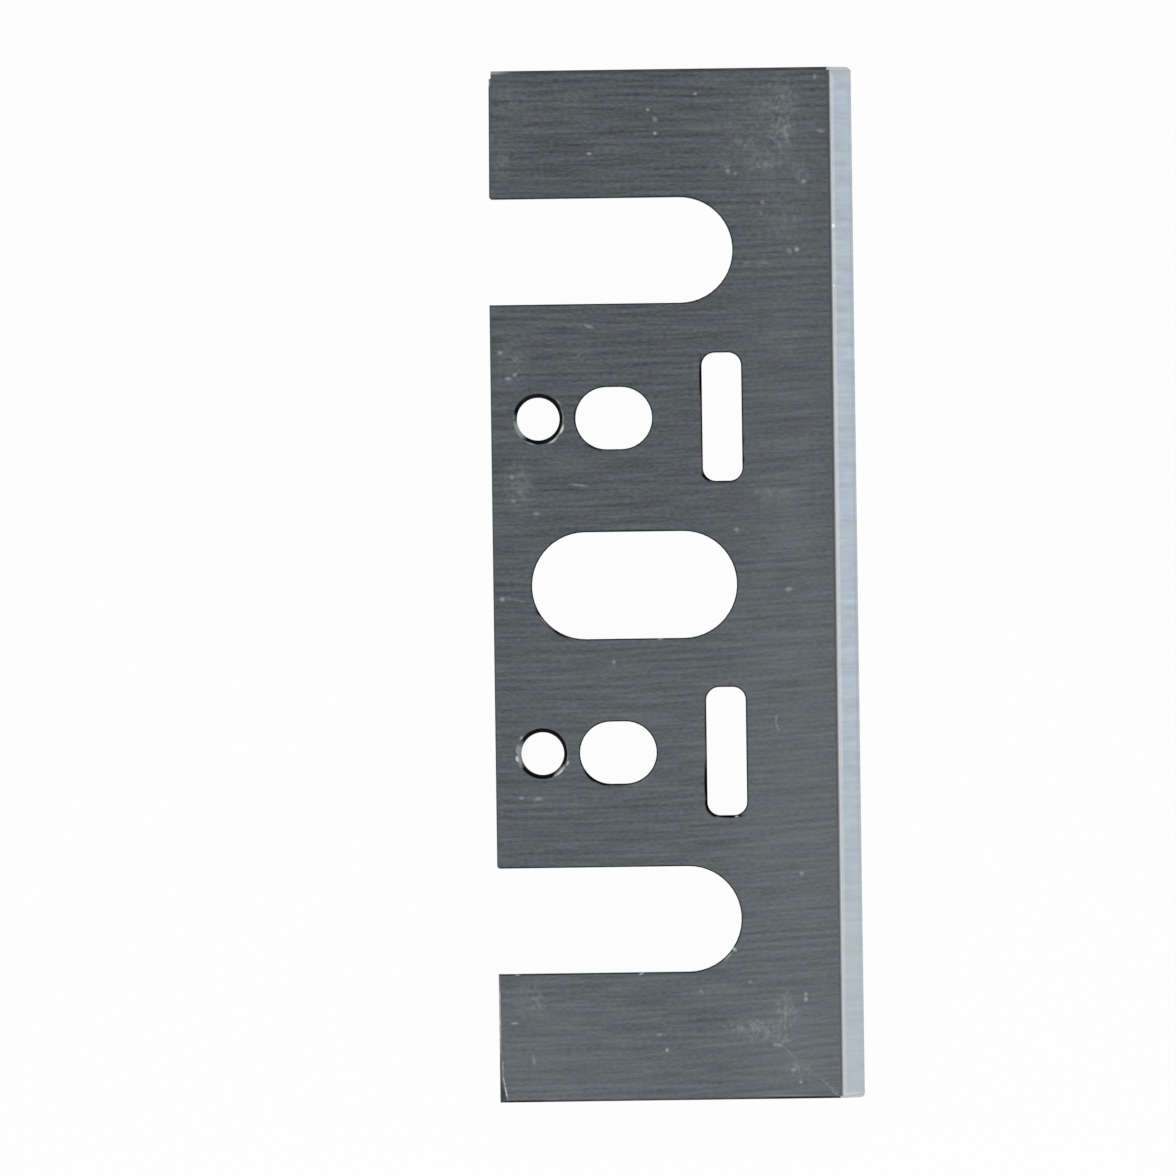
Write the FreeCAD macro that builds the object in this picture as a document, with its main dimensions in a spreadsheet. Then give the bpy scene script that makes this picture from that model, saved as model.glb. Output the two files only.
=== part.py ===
import FreeCAD, Part
import math
import os
import Sketcher

# Planer knife for a hand planer: one bar of high-speed steel, ground flat on
# both sides, with one long side ground to a cutting edge. Open slots, a long
# slot, ovals, narrow slots and two screw holes let the same knife be clamped,
# located and set in several cutter blocks.
#
# Frame, in millimetres: the back lies on Z = 0, the cutting edge points to +X,
# the knife's length runs along Y, and X = 0, Y = 0 is the middle of the plate.
# The far end is at +Y and the near end at -Y. Holes and slots are dimensioned
# across the knife from its rear edge, which is the side away from the cutting
# edge, and along the knife from its middle.

PARTS_FOLDER = "parts"

# Lengths are in millimetres and angles in degrees.
SIZES = {
    # The ground bar
    "blade_length": 82.0,
    "blade_width": 29.0,
    "blade_thickness": 3.0,
    "edge_angle": 60.0,
    "ridge_radius": 0.4,
    # Places along the knife: the holes and slots sit one pitch apart
    "station_pitch": 13.3,
    # Open slots near both ends, and the long slot in the middle. All three
    # close on one line, so that a clamping piece meets them together.
    "slot_reach": 19.38,
    "end_slot_width": 8.4,
    "centre_slot_width": 8.5,
    "centre_slot_rear_land": 3.08,
    "mouth_corner_radius": 0.25,
    # Ovals, each behind a narrow slot
    "oval_from_rear": 9.76,
    "oval_length": 6.1,
    "oval_width": 4.95,
    "narrow_slot_from_rear": 18.37,
    "narrow_slot_width": 3.15,
    "narrow_slot_length": 10.2,
    "narrow_slot_corner": 1.05,
    # Countersunk screw holes
    "screw_hole_from_rear": 3.75,
    "screw_hole_diameter": 3.4,
    "countersink_diameter": 4.05,
    "countersink_angle": 90.0,
    # Broken edges
    "far_end_break": 0.25,
    "near_end_break": 0.16,
    "rim_break": 0.1,
    "edge_corner_radius": 0.35,
    # Wear: the rear edge is worn to a slant at the near end. Beyond the far
    # open slot it is worn back, more so towards the end, and its corner there
    # is bruised
    "worn_length": 2.1,
    "worn_width": 0.55,
    "worn_depth": 0.8,
    "rear_wear_at_slot": 0.06,
    "rear_wear_at_end": 0.175,
    "bruise_length": 0.75,
    "bruise_width": 0.34,
}

# How far a cut is drawn past the faces that it opens.
OVERCUT = 1.0
# How far the worn corner's cut is drawn past each end of its slant, as a
# share of that slant.
SLANT_OVERCUT = 0.5
# Where along the bruise, from its start, it reaches its full depth.
BRUISE_RUN_IN = 0.25
# Two places closer than this are one place.
SAME = 1e-4
# Points looked at along an edge when edges are picked.
SAMPLES = 5

START, END, CENTRE = 1, 2, 3
ORIGIN = (-1, 1)


# Document and sheet

def make_sheet(doc):
    """Puts every size into a sheet, one row each, under its own name."""
    sheet = doc.addObject("Spreadsheet::Sheet", "Sizes")
    for row, (name, value) in enumerate(SIZES.items(), start=1):
        sheet.set(f"A{row}", name)
        sheet.set(f"B{row}", str(value))
        sheet.setAlias(f"B{row}", name)
    doc.recompute()
    return sheet


def size(item, formula):
    """The present value of a formula in the sheet's names."""
    value = item.evalExpression(formula)
    return float(getattr(value, "Value", value))


# Sketch tools

def origin_plane(body, role):
    return next(f for f in body.Origin.OriginFeatures if f.Role == role)


def rear_sketch(body, name, role="XY_Plane", height="0"):
    """A sketch whose origin is the middle of the rear edge."""
    sketch = body.newObject("Sketcher::SketchObject", name)
    sketch.AttachmentSupport = [(origin_plane(body, role), "")]
    sketch.MapMode = "FlatFace"
    sketch.setExpression("AttachmentOffset.Base.x", "-Sizes.blade_width / 2")
    sketch.setExpression("AttachmentOffset.Base.z", height)
    return sketch


def add_line(sketch, start, end):
    line = Part.LineSegment(FreeCAD.Vector(*start, 0), FreeCAD.Vector(*end, 0))
    return sketch.addGeometry(line, False)


def add_arc(sketch, centre, radius, from_deg, to_deg):
    circle = Part.Circle(FreeCAD.Vector(*centre, 0), FreeCAD.Vector(0, 0, 1), radius)
    arc = Part.ArcOfCircle(circle, math.radians(from_deg), math.radians(to_deg))
    return sketch.addGeometry(arc, False)


def constrain(sketch, kind, *where):
    sketch.addConstraint(Sketcher.Constraint(kind, *where))


def close_outline(sketch, curves, joint="Coincident"):
    """Joins each curve's end to the next one's start, round to the first."""
    for curve, following in zip(curves, curves[1:] + curves[:1]):
        constrain(sketch, joint, curve, END, following, START)


def add_polygon(sketch, corners):
    """Closed straight outline; returns the line that leaves each corner."""
    lines = []
    for start, end in zip(corners, corners[1:] + corners[:1]):
        lines.append(add_line(sketch, start, end))
    close_outline(sketch, lines)
    return lines


def dimension(sketch, name, kind, where, formula):
    """A named dimension that follows the sheet."""
    value = size(sketch, formula)
    if kind == "Angle":
        value = math.radians(value)
    index = sketch.addConstraint(Sketcher.Constraint(kind, *where, value))
    sketch.renameConstraint(index, name)
    sketch.setExpression(f"Constraints.{name}", formula)


def locate(sketch, name, point, across, along):
    """Dimensions a point from the middle of the rear edge, either way from it."""
    directions = (("DistanceX", "across", across), ("DistanceY", "along", along))
    for kind, axis, formula in directions:
        if size(sketch, formula) < 0:
            dimension(sketch, f"{name}_{axis}", kind, (*point, *ORIGIN), f"-({formula})")
        else:
            dimension(sketch, f"{name}_{axis}", kind, (*ORIGIN, *point), formula)


def add_located_polygon(sketch, corners):
    """Closed straight outline with each corner dimensioned: {name: (across, along)}."""
    places = [tuple(size(sketch, formula) for formula in pair) for pair in corners.values()]
    lines = add_polygon(sketch, places)
    for line, (name, (across, along)) in zip(lines, corners.items()):
        locate(sketch, name, (line, START), across, along)


def add_obround(sketch, across, along, length, width):
    """A slot with full round ends, lying across the knife; all formulas."""
    x, y = size(sketch, across), size(sketch, along)
    radius = size(sketch, width) / 2
    reach = size(sketch, length) / 2 - radius
    rear_end = add_arc(sketch, (x - reach, y), radius, 90, 270)
    near_side = add_line(sketch, (x - reach, y - radius), (x + reach, y - radius))
    front_end = add_arc(sketch, (x + reach, y), radius, -90, 90)
    far_side = add_line(sketch, (x + reach, y + radius), (x - reach, y + radius))
    close_outline(sketch, [rear_end, near_side, front_end, far_side], "Tangent")
    constrain(sketch, "Equal", rear_end, front_end)
    constrain(sketch, "Horizontal", near_side)
    dimension(sketch, "end_radius", "Radius", (rear_end,), f"({width}) / 2")
    spread = f"({length}) - ({width})"
    dimension(sketch, "end_spread", "DistanceX", (rear_end, CENTRE, front_end, CENTRE), spread)
    locate(sketch, "rear_end", (rear_end, CENTRE), f"({across}) - ({spread}) / 2", along)


def add_rounded_rectangle(sketch, across, along, width, length, corner):
    """A rectangle with round corners, its length along the knife; all formulas."""
    x, y, radius = size(sketch, across), size(sketch, along), size(sketch, corner)
    half_x = size(sketch, width) / 2 - radius
    half_y = size(sketch, length) / 2 - radius
    turns = [(1, -1, -90), (1, 1, 0), (-1, 1, 90), (-1, -1, 180)]
    arcs = []
    for side_x, side_y, angle in turns:
        centre = (x + side_x * half_x, y + side_y * half_y)
        arcs.append(add_arc(sketch, centre, radius, angle, angle + 90))
    sides = []
    for (side_x, side_y, angle), (next_x, next_y, _) in zip(turns, turns[1:] + turns[:1]):
        out_x = radius * math.cos(math.radians(angle + 90))
        out_y = radius * math.sin(math.radians(angle + 90))
        start = (x + side_x * half_x + out_x, y + side_y * half_y + out_y)
        end = (x + next_x * half_x + out_x, y + next_y * half_y + out_y)
        sides.append(add_line(sketch, start, end))
    outline = [curve for pair in zip(arcs, sides) for curve in pair]
    close_outline(sketch, outline, "Tangent")
    for side, direction in zip(sides, ("Vertical", "Horizontal", "Vertical", "Horizontal")):
        constrain(sketch, direction, side)
    for arc in arcs[1:]:
        constrain(sketch, "Equal", arcs[0], arc)
    dimension(sketch, "corner_radius", "Radius", (arcs[0],), corner)
    spread_x = f"({width}) - 2 * ({corner})"
    spread_y = f"({length}) - 2 * ({corner})"
    dimension(sketch, "spread_across", "DistanceX", (arcs[3], CENTRE, arcs[0], CENTRE), spread_x)
    dimension(sketch, "spread_along", "DistanceY", (arcs[0], CENTRE, arcs[1], CENTRE), spread_y)
    place = (f"({across}) - ({spread_x}) / 2", f"({along}) - ({spread_y}) / 2")
    locate(sketch, "near_rear_corner", (arcs[3], CENTRE), *place)


# Feature tools

def start_cut(body, kind, name, sketch):
    """A cut that is still to be set up, and the volume that it starts from."""
    body.Document.recompute()
    before = body.Shape.Volume
    cut = body.newObject(f"PartDesign::{kind}", name)
    cut.Profile = sketch
    return cut, before


def finish_cut(cut, before):
    """Stops if the cut took nothing away."""
    cut.Document.recompute()
    if not cut.Shape.Volume < before:
        raise RuntimeError(f"{cut.Name} removes nothing")
    return cut


def cut_through(body, sketch, name):
    """Cuts the sketch's outline through the whole thickness."""
    pocket, before = start_cut(body, "Pocket", name, sketch)
    pocket.Type = "ThroughAll"
    pocket.Reversed = True
    return finish_cut(pocket, before)


def pick_edges(shape, wanted):
    """Names of the edges whose sample points are wanted."""
    names = []
    for number, edge in enumerate(shape.Edges, start=1):
        if wanted(edge.discretize(SAMPLES)):
            names.append(f"Edge{number}")
    return names


def treat_edges(body, kind, name, measure, formula, wanted):
    """Rounds or chamfers the picked edges of the body as it stands."""
    body.Document.recompute()
    base = body.Tip
    names = pick_edges(base.Shape, wanted)
    if not names:
        raise RuntimeError(f"{name} finds no edge")
    feature = body.newObject(f"PartDesign::{kind}", name)
    feature.Base = (base, names)
    feature.setExpression(measure, formula)
    body.Document.recompute()


# The knife, in the order in which it is made

# Where the flat top ends and the bevel starts, before the ridge is rounded.
RIDGE_FROM_REAR = "Sizes.blade_width - Sizes.blade_thickness / tan(Sizes.edge_angle * 1 deg)"


def grind_bar(body):
    """The bar's section, from rear edge to cutting edge, drawn to its full length."""
    sketch = rear_sketch(body, "bar_section", "XZ_Plane")
    width = size(sketch, "Sizes.blade_width")
    thickness = size(sketch, "Sizes.blade_thickness")
    ridge = size(sketch, RIDGE_FROM_REAR)
    corners = [(0, 0), (width, 0), (ridge, thickness), (0, thickness)]
    back, bevel, face, rear = add_polygon(sketch, corners)
    constrain(sketch, "Coincident", back, START, *ORIGIN)
    constrain(sketch, "Horizontal", back)
    constrain(sketch, "Horizontal", face)
    constrain(sketch, "Vertical", rear)
    dimension(sketch, "width", "DistanceX", (back, START, back, END), "Sizes.blade_width")
    dimension(sketch, "thickness", "DistanceY", (rear, END, rear, START), "Sizes.blade_thickness")
    dimension(sketch, "bevel_slope", "Angle", (bevel,), "(180 - Sizes.edge_angle) * 1 deg")
    bar = body.newObject("PartDesign::Pad", "bar")
    bar.Profile = sketch
    bar.SideType = "Symmetric"
    bar.setExpression("Length", "Sizes.blade_length")
    body.Document.recompute()


def round_ridge(body):
    """The bevel meets the flat top in a fine rounded ridge that catches the light."""
    thickness = size(body, "Sizes.blade_thickness")
    ridge = size(body, RIDGE_FROM_REAR) - size(body, "Sizes.blade_width") / 2

    def on_ridge(points):
        return all(abs(p.z - thickness) < SAME and abs(p.x - ridge) < SAME for p in points)

    treat_edges(body, "Fillet", "rounded_ridge", "Radius", "Sizes.ridge_radius", on_ridge)


def break_end(body, name, side):
    """Chamfers one end over the flat top, the ridge and the bevel in one pass."""
    end = side * size(body, "Sizes.blade_length") / 2

    def over_the_top(points):
        in_end_face = all(abs(p.y - end) < SAME for p in points)
        off_the_back = max(p.z for p in points) > SAME
        across = max(p.x for p in points) - min(p.x for p in points)
        return in_end_face and off_the_back and across > SAME

    treat_edges(body, "Chamfer", f"{name}_chamfer", "Size", f"Sizes.{name}_break", over_the_top)


def round_near_corner(body):
    """The cutting edge's corner at the near end is rounded."""
    sketch = rear_sketch(body, "near_corner_outline")
    radius = "Sizes.edge_corner_radius"
    width = "Sizes.blade_width"
    end = "-Sizes.blade_length / 2"
    centre = [f"{width} - {radius}", f"{end} + {radius}"]
    x, y = (size(sketch, formula) for formula in centre)
    reach = size(sketch, radius)
    out = reach + OVERCUT
    arc = add_arc(sketch, (x, y), reach, -90, 0)
    front = add_line(sketch, (x + reach, y), (x + out, y))
    side = add_line(sketch, (x + out, y), (x + out, y - out))
    below = add_line(sketch, (x + out, y - out), (x, y - out))
    back = add_line(sketch, (x, y - out), (x, y - reach))
    close_outline(sketch, [arc, front, side, below, back])
    constrain(sketch, "Horizontal", front)
    constrain(sketch, "Vertical", side)
    constrain(sketch, "Horizontal", below)
    constrain(sketch, "Vertical", back)
    constrain(sketch, "PointOnObject", arc, CENTRE, front)
    constrain(sketch, "PointOnObject", arc, CENTRE, back)
    dimension(sketch, "corner_radius", "Radius", (arc,), radius)
    dimension(sketch, "overcut", "DistanceX", (front, START, front, END), f"{OVERCUT}")
    dimension(sketch, "overcut_below", "DistanceY", (back, START, back, END), f"{OVERCUT}")
    locate(sketch, "corner_centre", (arc, CENTRE), *centre)
    cut_through(body, sketch, "near_corner")


def cut_end_slot(body):
    """Open slot: it runs in from the rear edge and closes in a half round."""
    sketch = rear_sketch(body, "end_slot_outline")
    along = size(sketch, "2 * Sizes.station_pitch")
    radius = size(sketch, "Sizes.end_slot_width / 2")
    closed = size(sketch, "Sizes.slot_reach") - radius
    near_side = add_line(sketch, (-OVERCUT, along - radius), (closed, along - radius))
    round_end = add_arc(sketch, (closed, along), radius, -90, 90)
    far_side = add_line(sketch, (closed, along + radius), (-OVERCUT, along + radius))
    mouth = add_line(sketch, (-OVERCUT, along + radius), (-OVERCUT, along - radius))
    constrain(sketch, "Tangent", near_side, END, round_end, START)
    constrain(sketch, "Tangent", round_end, END, far_side, START)
    constrain(sketch, "Coincident", far_side, END, mouth, START)
    constrain(sketch, "Coincident", mouth, END, near_side, START)
    constrain(sketch, "Horizontal", near_side)
    constrain(sketch, "Horizontal", far_side)
    constrain(sketch, "Vertical", mouth)
    dimension(sketch, "end_radius", "Radius", (round_end,), "Sizes.end_slot_width / 2")
    dimension(sketch, "overcut", "DistanceX", (near_side, START, *ORIGIN), f"{OVERCUT}")
    reach = "Sizes.slot_reach - Sizes.end_slot_width / 2"
    locate(sketch, "round_end", (round_end, CENTRE), reach, "2 * Sizes.station_pitch")
    return cut_through(body, sketch, "end_slot")


def cut_oval(body):
    sketch = rear_sketch(body, "oval_outline")
    add_obround(
        sketch,
        across="Sizes.oval_from_rear",
        along="Sizes.station_pitch",
        length="Sizes.oval_length",
        width="Sizes.oval_width",
    )
    return cut_through(body, sketch, "oval")


def cut_narrow_slot(body):
    sketch = rear_sketch(body, "narrow_slot_outline")
    add_rounded_rectangle(
        sketch,
        across="Sizes.narrow_slot_from_rear",
        along="Sizes.station_pitch",
        width="Sizes.narrow_slot_width",
        length="Sizes.narrow_slot_length",
        corner="Sizes.narrow_slot_corner",
    )
    return cut_through(body, sketch, "narrow_slot")


def mirror_cuts(body, cuts):
    """Repeats the cuts of one half at the same places in the other half."""
    before = body.Shape.Volume
    mirrored = body.newObject("PartDesign::Mirrored", "other_half")
    mirrored.Originals = cuts
    mirrored.MirrorPlane = (origin_plane(body, "XZ_Plane"), [""])
    body.Tip = mirrored
    finish_cut(mirrored, before)


def cut_centre_slot(body):
    """Long slot in the middle, closed on the same line as the open ones."""
    sketch = rear_sketch(body, "centre_slot_outline")
    add_obround(
        sketch,
        across="(Sizes.slot_reach + Sizes.centre_slot_rear_land) / 2",
        along="0",
        length="Sizes.slot_reach - Sizes.centre_slot_rear_land",
        width="Sizes.centre_slot_width",
    )
    return cut_through(body, sketch, "centre_slot")


def wear_far_rear_edge(body):
    """The rear edge is worn back on a slight slant from the far open slot to the end."""
    sketch = rear_sketch(body, "rear_wear_outline")
    slot = "2 * Sizes.station_pitch"
    end = "Sizes.blade_length / 2"
    corners = {
        "outside_near": (f"-{OVERCUT}", slot),
        "in_slot": ("Sizes.rear_wear_at_slot", slot),
        "at_end": ("Sizes.rear_wear_at_end", end),
        "past_end": ("Sizes.rear_wear_at_end", f"{end} + {OVERCUT}"),
        "outside_far": (f"-{OVERCUT}", f"{end} + {OVERCUT}"),
    }
    add_located_polygon(sketch, corners)
    cut_through(body, sketch, "rear_wear")


def round_mouths(body):
    """Each open slot's mouth is rounded at its far side and left sharp at its near side."""
    rear = -size(body, "Sizes.blade_width") / 2 + size(body, "Sizes.rear_wear_at_end")
    station = size(body, "2 * Sizes.station_pitch")
    half_slot = size(body, "Sizes.end_slot_width / 2")
    far_sides = (station + half_slot, half_slot - station)

    def on_far_side(points):
        on_rear_edge = all(p.x < rear for p in points)
        return on_rear_edge and any(all(abs(p.y - y) < SAME for p in points) for y in far_sides)

    treat_edges(body, "Fillet", "rounded_mouths", "Radius", "Sizes.mouth_corner_radius", on_far_side)


def break_rims(body):
    """Takes the sharpness off the rear edge and every slot, on both faces."""
    half_width = size(body, "Sizes.blade_width") / 2
    thickness = size(body, "Sizes.blade_thickness")
    ridge_start = size(body, RIDGE_FROM_REAR) - half_width - size(body, "Sizes.ridge_radius")
    end_land = size(body, "max(Sizes.far_end_break; Sizes.near_end_break)")
    end_start = size(body, "Sizes.blade_length") / 2 - end_land - SAME

    def on_rim(points):
        on_a_face = all(abs(p.z) < SAME or abs(p.z - thickness) < SAME for p in points)
        behind_the_ridge = all(p.x < ridge_start for p in points)
        off_the_ends = any(abs(p.y) < end_start for p in points)
        return on_a_face and behind_the_ridge and off_the_ends

    treat_edges(body, "Chamfer", "broken_rims", "Size", "Sizes.rim_break", on_rim)


def drill_screw_holes(body):
    """Two countersunk screw holes, drilled from the face that the bevel is on."""
    sketch = rear_sketch(body, "screw_hole_places", height="Sizes.blade_thickness")
    across = "Sizes.screw_hole_from_rear"
    for name, along in (("far", "Sizes.station_pitch"), ("near", "-Sizes.station_pitch")):
        centre = FreeCAD.Vector(size(sketch, across), size(sketch, along), 0)
        radius = size(sketch, "Sizes.screw_hole_diameter / 2")
        circle = sketch.addGeometry(Part.Circle(centre, FreeCAD.Vector(0, 0, 1), radius), False)
        dimension(sketch, f"{name}_radius", "Radius", (circle,), "Sizes.screw_hole_diameter / 2")
        locate(sketch, f"{name}_hole", (circle, CENTRE), across, along)
    holes, before = start_cut(body, "Hole", "screw_holes", sketch)
    body.Document.recompute()
    holes.ThreadType = "None"
    holes.DepthType = "ThroughAll"
    holes.HoleCutType = "Countersink"
    holes.HoleCutCustomValues = True
    holes.setExpression("Diameter", "Sizes.screw_hole_diameter")
    holes.setExpression("HoleCutDiameter", "Sizes.countersink_diameter")
    holes.setExpression("HoleCutCountersinkAngle", "Sizes.countersink_angle * 1 deg")
    finish_cut(holes, before)


def bruise_far_corner(body):
    """The rear corner at the far end is knocked in, with a short step."""
    sketch = rear_sketch(body, "bruise_outline")
    end = "Sizes.blade_length / 2"
    out = f"{OVERCUT}"
    corners = {
        "outside_near": (f"-{out}", f"{end} - Sizes.bruise_length"),
        "start": ("0", f"{end} - Sizes.bruise_length"),
        "deepest": ("Sizes.bruise_width", f"{end} - Sizes.bruise_length * (1 - {BRUISE_RUN_IN})"),
        "far": ("Sizes.bruise_width", f"{end} + {out}"),
        "outside_far": (f"-{out}", f"{end} + {out}"),
    }
    add_located_polygon(sketch, corners)
    cut_through(body, sketch, "bruised_corner")


def wear_near_corner(body):
    """A slant that starts at nothing on the top rear edge and widens to the near end."""
    sketch = rear_sketch(body, "worn_slant_outline", "XZ_Plane", "Sizes.blade_length / 2")
    over_x = f"Sizes.worn_width * {SLANT_OVERCUT}"
    over_z = f"Sizes.worn_depth * {SLANT_OVERCUT}"
    top = "Sizes.blade_thickness"
    corners = {
        "outside": (f"-({over_x})", f"{top} + {over_z}"),
        "under": (f"-({over_x})", f"{top} - Sizes.worn_depth - {over_z}"),
        "over": (f"Sizes.worn_width + {over_x}", f"{top} + {over_z}"),
    }
    add_located_polygon(sketch, corners)
    slant, before = start_cut(body, "Pocket", "worn_corner", sketch)
    slant.Type = "Length"
    slant.UseCustomVector = True
    slant.AlongSketchNormal = False
    slant.setExpression("Direction.x", "-Sizes.worn_width / 2")
    slant.setExpression("Direction.y", "Sizes.worn_length")
    slant.setExpression("Direction.z", "Sizes.worn_depth / 2")
    slant.setExpression("Length", f"Sizes.worn_length + {OVERCUT}")
    finish_cut(slant, before)


def make_knife(doc):
    body = doc.addObject("PartDesign::Body", "knife")
    body.Label = "knife"
    grind_bar(body)
    round_ridge(body)
    break_end(body, "far_end", 1)
    break_end(body, "near_end", -1)
    round_near_corner(body)
    mirror_cuts(body, [cut_end_slot(body), cut_oval(body), cut_narrow_slot(body)])
    cut_centre_slot(body)
    wear_far_rear_edge(body)
    round_mouths(body)
    break_rims(body)
    drill_screw_holes(body)
    bruise_far_corner(body)
    wear_near_corner(body)
    body.Placement = FreeCAD.Placement()
    return body


# Checks and files

def check_document(doc):
    """Stops on any feature that failed without saying so."""
    for item in doc.Objects:
        if "Invalid" in item.State or "Error" in item.State:
            raise RuntimeError(f"{item.Name} failed: {item.State}")
        if item.isDerivedFrom("PartDesign::Feature") and not item.Shape.isValid():
            raise RuntimeError(f"{item.Name} has a broken shape")


def write_part(body):
    shape = body.Shape
    if shape.isNull() or not shape.isValid() or len(shape.Solids) != 1:
        raise RuntimeError(f"{body.Label} is not one valid solid")
    box = shape.BoundBox
    print(
        f"{body.Label}: {box.XLength:.3f} x {box.YLength:.3f} x {box.ZLength:.3f} mm,"
        f" {shape.Volume:.1f} mm3, {len(shape.Faces)} faces"
    )
    os.makedirs(PARTS_FOLDER, exist_ok=True)
    shape.exportStep(os.path.join(PARTS_FOLDER, f"{body.Label}.step"))


def main():
    doc = FreeCAD.newDocument("planer_knife")
    make_sheet(doc)
    knife = make_knife(doc)
    doc.recompute()
    check_document(doc)
    write_part(knife)


main()
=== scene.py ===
"""A wide planer knife of high-speed steel, lying on a white table and seen from straight above."""

import logging
import math
from dataclasses import dataclass
from enum import Enum, auto
from typing import Any

import bmesh
import bpy
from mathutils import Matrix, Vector


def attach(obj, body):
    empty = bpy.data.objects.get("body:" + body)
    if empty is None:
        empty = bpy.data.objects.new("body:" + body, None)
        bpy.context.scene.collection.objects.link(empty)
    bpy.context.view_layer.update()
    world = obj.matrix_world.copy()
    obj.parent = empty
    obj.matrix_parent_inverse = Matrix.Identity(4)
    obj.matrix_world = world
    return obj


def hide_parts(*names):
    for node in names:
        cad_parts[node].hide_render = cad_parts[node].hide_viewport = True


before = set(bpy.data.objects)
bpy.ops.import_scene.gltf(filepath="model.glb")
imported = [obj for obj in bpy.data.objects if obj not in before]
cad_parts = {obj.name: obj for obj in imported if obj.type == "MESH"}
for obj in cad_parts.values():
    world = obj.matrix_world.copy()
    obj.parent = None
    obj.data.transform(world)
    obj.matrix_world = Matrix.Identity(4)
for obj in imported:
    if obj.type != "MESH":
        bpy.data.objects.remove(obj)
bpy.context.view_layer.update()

LOG = logging.getLogger("planer_knife")

# One millimetre in Blender's metres. Sizes below are in millimetres unless they say otherwise.
MM = 0.001

# Two corners of the mesh that are nearer than this, in millimetres, become one.
MERGE_REACH = 0.0001
# A mark reaches this far down, so that it covers a chamfer or a wall under it too.
MARK_DEPTH = 100.0
# A noise has its mean near a half. These are the values between which it turns from the darkest
# line to the lightest, from no fleck to a whole one, and from one colour of a blotch to the other.
NOISE_MEAN = 0.5
LINE_RANGE = (0.25, 0.75)
FLECK_RANGE = (0.42, 0.68)
BLOTCH_RANGE = (0.3, 0.7)
# A curl shows where a noise is within this of its mean, and its cells are these shares of its size.
CURL_WIDTH = 0.1
CURL_CELL = (0.75, 1.2, 1.0)


def srgb(colour: str) -> tuple[float, float, float, float]:
    """Turns a colour written as sRGB hex to Blender's linear one.

    Args:
        colour: such as "#5a6063"
    Returns:
        linear red, green and blue, and full alpha
    """
    shares = [int(colour[i : i + 2], 16) / 255 for i in (1, 3, 5)]
    linear = [s / 12.92 if s <= 0.04045 else ((s + 0.055) / 1.055) ** 2.4 for s in shares]
    return (*linear, 1.0)


def add_node(
    tree: bpy.types.NodeTree,
    kind: str,
    inputs: dict[int | str, Any] | None = None,
    **settings: Any,
) -> bpy.types.Node:
    """Adds one node with its settings, and fills or links its inputs.

    Args:
        tree: the tree that gets the node
        kind: the node's type, without the leading ShaderNode
        inputs: for each input, by name or number, a value or the socket that feeds it
        settings: the node's own settings
    Returns:
        the new node
    """
    node = tree.nodes.new(f"ShaderNode{kind}")
    for name, value in settings.items():
        setattr(node, name, value)
    for socket, value in (inputs or {}).items():
        if isinstance(value, bpy.types.NodeSocket):
            tree.links.new(value, node.inputs[socket])
        else:
            node.inputs[socket].default_value = value
    return node


class Surface(Enum):
    """The knife's surfaces, told apart by how each was made."""

    FACE = auto()
    BACK = auto()
    BEVEL = auto()
    RIDGE = auto()
    BEVEL_END = auto()
    OUTER_BREAK = auto()
    RIM = auto()
    COUNTERSINK = auto()
    CUT_WALL = auto()
    OUTER_WALL = auto()
    WEAR = auto()


@dataclass(frozen=True)
class Grain:
    """One layer of a surface's fine structure, as noise drawn out along the tool's path.

    Attributes:
        reach: the size of one cell along X, Y and Z
        weight: its share in the surface's light and dark
        detail: octaves of finer structure inside it
    """

    reach: tuple[float, float, float]
    weight: float = 1.0
    detail: float = 1.0

    def draw(self, tree: bpy.types.NodeTree, place: bpy.types.NodeSocket) -> bpy.types.NodeSocket:
        """Draws the layer.

        Args:
            tree: the material's tree
            place: a place on the surface, in millimetres
        Returns:
            a socket from 0 to 1 with its mean near a half
        """
        scale = tuple(1 / reach for reach in self.reach)
        drawn = add_node(tree, "Mapping", {"Vector": place, "Scale": scale})
        noise = {"Vector": drawn.outputs[0], "Scale": 1.0, "Detail": self.detail}
        return add_node(tree, "TexNoise", noise).outputs[0]


@dataclass(frozen=True)
class Mark:
    """A soft spot on a surface, round or drawn out into a line.

    Attributes:
        x: where it lies across the knife
        y: where it lies along the knife
        length: its half length
        width: its half width
        turn: how far its length is turned from X, in degrees
        strength: how far it covers the finish in its middle, where 1 is wholly
    """

    x: float
    y: float
    length: float
    width: float
    turn: float = 0.0
    strength: float = 1.0

    def add_to(
        self,
        tree: bpy.types.NodeTree,
        place: bpy.types.NodeSocket,
        total: float | bpy.types.NodeSocket,
    ) -> bpy.types.NodeSocket:
        """Adds the mark to those before it.

        Args:
            tree: the material's tree
            place: a place on the surface, in the units of the mark
            total: the sum of the marks before it
        Returns:
            the new sum
        """
        frame_of_mark = {
            "Vector": place,
            "Location": (self.x, self.y, 0.0),
            "Rotation": (0.0, 0.0, math.radians(self.turn)),
            "Scale": (self.length, self.width, MARK_DEPTH),
        }
        inside = add_node(tree, "Mapping", frame_of_mark, vector_type="TEXTURE").outputs[0]
        spot = add_node(tree, "TexGradient", {"Vector": inside}, gradient_type="SPHERICAL")
        terms = {0: spot.outputs[1], 1: self.strength, 2: total}
        return add_node(tree, "Math", terms, operation="MULTIPLY_ADD").outputs[0]


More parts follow.
